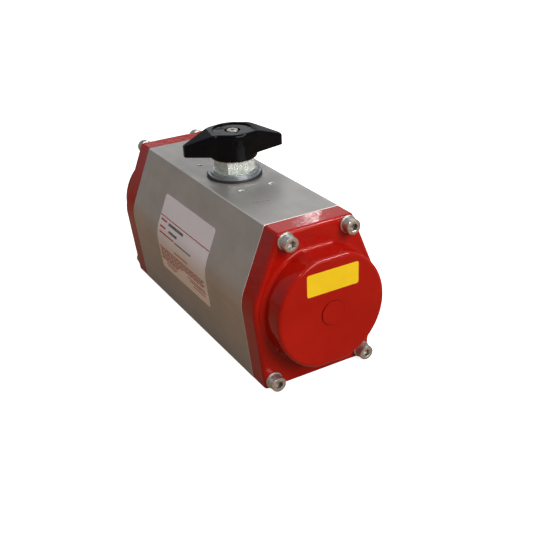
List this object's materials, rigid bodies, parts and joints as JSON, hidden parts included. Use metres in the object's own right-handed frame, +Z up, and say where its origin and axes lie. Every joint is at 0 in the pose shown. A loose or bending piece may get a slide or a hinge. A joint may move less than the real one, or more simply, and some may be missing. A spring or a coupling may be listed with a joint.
{
  "type": "pneumatic actuator",
  "caption": "Double-acting rack and pinion quarter-turn pneumatic actuator: extruded aluminium housing, red domed end caps, square-headed pinion and a winged position knob.",
  "frame": {"origin": "pinion axis where it meets the valve mounting face", "axes": "+Z up along the pinion towards the knob, +X along the cylinder bore, +Y towards the air port side"},
  "size_m": [0.317, 0.1302, 0.1806],
  "materials": {
    "anodised_aluminium": "satin",
    "cast_aluminium": "satin",
    "red_coating": "gloss powder coat",
    "stainless_steel": "satin",
    "plated_steel": "satin zinc plate",
    "knob_plastic": "gloss",
    "black_plastic": "matt",
    "bearing_plastic": "matt",
    "seal_rubber": "matt"
  },
  "bodies": {
    "housing": {"housing": "anodised_aluminium", "near_end_cap": "red_coating", "far_end_cap": "red_coating", "near_cap_screws": "stainless_steel", "far_cap_screws": "stainless_steel", "near_cap_washers": "stainless_steel", "far_cap_washers": "stainless_steel", "near_cap_seal": "seal_rubber", "far_cap_seal": "seal_rubber", "lower_bush": "bearing_plastic", "upper_bush": "bearing_plastic", "face_washer": "black_plastic", "thrust_ring": "bearing_plastic", "shut_stop_washer": "seal_rubber", "open_stop_washer": "seal_rubber", "shut_stop_nut": "stainless_steel", "open_stop_nut": "stainless_steel"},
    "pinion": {"pinion": "plated_steel", "stop_cam": "plated_steel", "face_disc": "stainless_steel", "retaining_ring": "stainless_steel", "lower_shaft_seal": "seal_rubber", "upper_shaft_seal": "seal_rubber", "knob": "knob_plastic", "knob_screw": "stainless_steel"},
    "near_piston": {"near_piston": "cast_aluminium", "near_piston_seal": "seal_rubber", "near_guide_ring": "bearing_plastic", "near_rack_pad": "bearing_plastic"},
    "far_piston": {"far_piston": "cast_aluminium", "far_piston_seal": "seal_rubber", "far_guide_ring": "bearing_plastic", "far_rack_pad": "bearing_plastic"},
    "shut_stop": {"shut_stop_screw": "stainless_steel"},
    "open_stop": {"open_stop_screw": "stainless_steel"}
  },
  "joints": [
    {"name": "pinion_turn", "type": "hinge", "parent": "housing", "child": "pinion", "pos_m": [0, 0, 0], "axis": [0, 0, 1], "range_deg": [0, 90]},
    {"name": "near_piston_slide", "type": "slide", "parent": "housing", "child": "near_piston", "axis": [1, 0, 0], "range_m": [0, 0.0315]},
    {"name": "far_piston_slide", "type": "slide", "parent": "housing", "child": "far_piston", "axis": [-1, 0, 0], "range_m": [0, 0.0315]},
    {"name": "shut_stop_adjust", "type": "slide", "parent": "housing", "child": "shut_stop", "axis": [0, 1, 0], "range_m": [0, 0.005]},
    {"name": "open_stop_adjust", "type": "slide", "parent": "housing", "child": "open_stop", "axis": [0, 1, 0], "range_m": [0, 0.005]}
  ],
  "couplings": [
    {"joint": "near_piston_slide", "follows": "pinion_turn", "m_per_rad": 0.02},
    {"joint": "far_piston_slide", "follows": "pinion_turn", "m_per_rad": 0.02}
  ]
}
